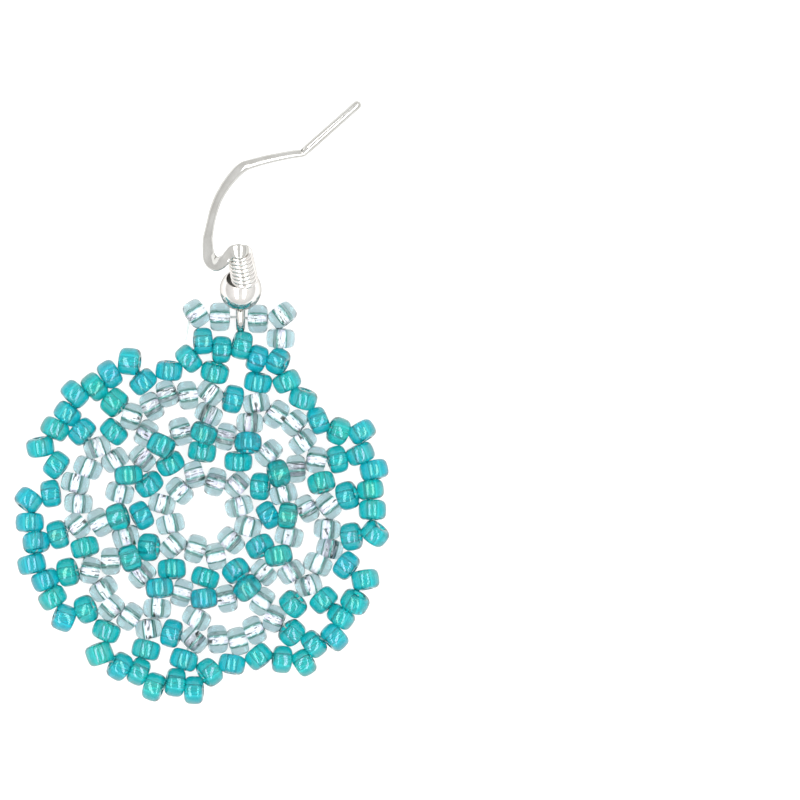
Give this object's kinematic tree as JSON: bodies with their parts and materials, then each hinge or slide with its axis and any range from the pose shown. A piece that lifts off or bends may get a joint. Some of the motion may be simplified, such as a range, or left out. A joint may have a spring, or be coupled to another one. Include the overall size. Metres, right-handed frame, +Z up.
{
  "type": "beaded drop earring",
  "caption": "Drop earring of teal and silver-lined seed beads netted into a round openwork disc, on a bent silver ear wire with a bored ball and a coil.",
  "frame": {"origin": "on the surface the earring lies on, under the middle of its box", "axes": "+X to the right as seen from above, +Y from the disc towards the ear wire, +Z up from the surface"},
  "size_m": [0.0272, 0.0442, 0.007],
  "materials": {
    "silver": "bright polished silver",
    "teal_glass": "transparent teal glass with a faint rainbow lustre",
    "silver_lined_glass": "clear grey glass with a bright silver lining",
    "nylon": "clear nylon thread"
  },
  "bodies": {
    "root": {"ear_hook": "silver", "ball_bead": "silver", "wire_coil": "silver", "hanging_loop": "silver_lined_glass", "centre_ring": "silver_lined_glass", "inner_spokes": "teal_glass", "outer_spokes": "teal_glass", "middle_ring": "silver_lined_glass", "arch_1": "silver_lined_glass", "arch_2": "silver_lined_glass", "arch_3": "silver_lined_glass", "arch_4": "silver_lined_glass", "arch_5": "silver_lined_glass", "arch_6": "silver_lined_glass", "bridge_1": "teal_glass", "bridge_2": "teal_glass", "bridge_3": "teal_glass", "bridge_4": "teal_glass", "bridge_5": "teal_glass", "bridge_6": "teal_glass", "edge_1": "teal_glass", "edge_2": "teal_glass", "edge_3": "teal_glass", "edge_4": "teal_glass", "edge_5": "teal_glass", "edge_6": "teal_glass", "beading_thread": "nylon"}
  },
  "joints": []
}
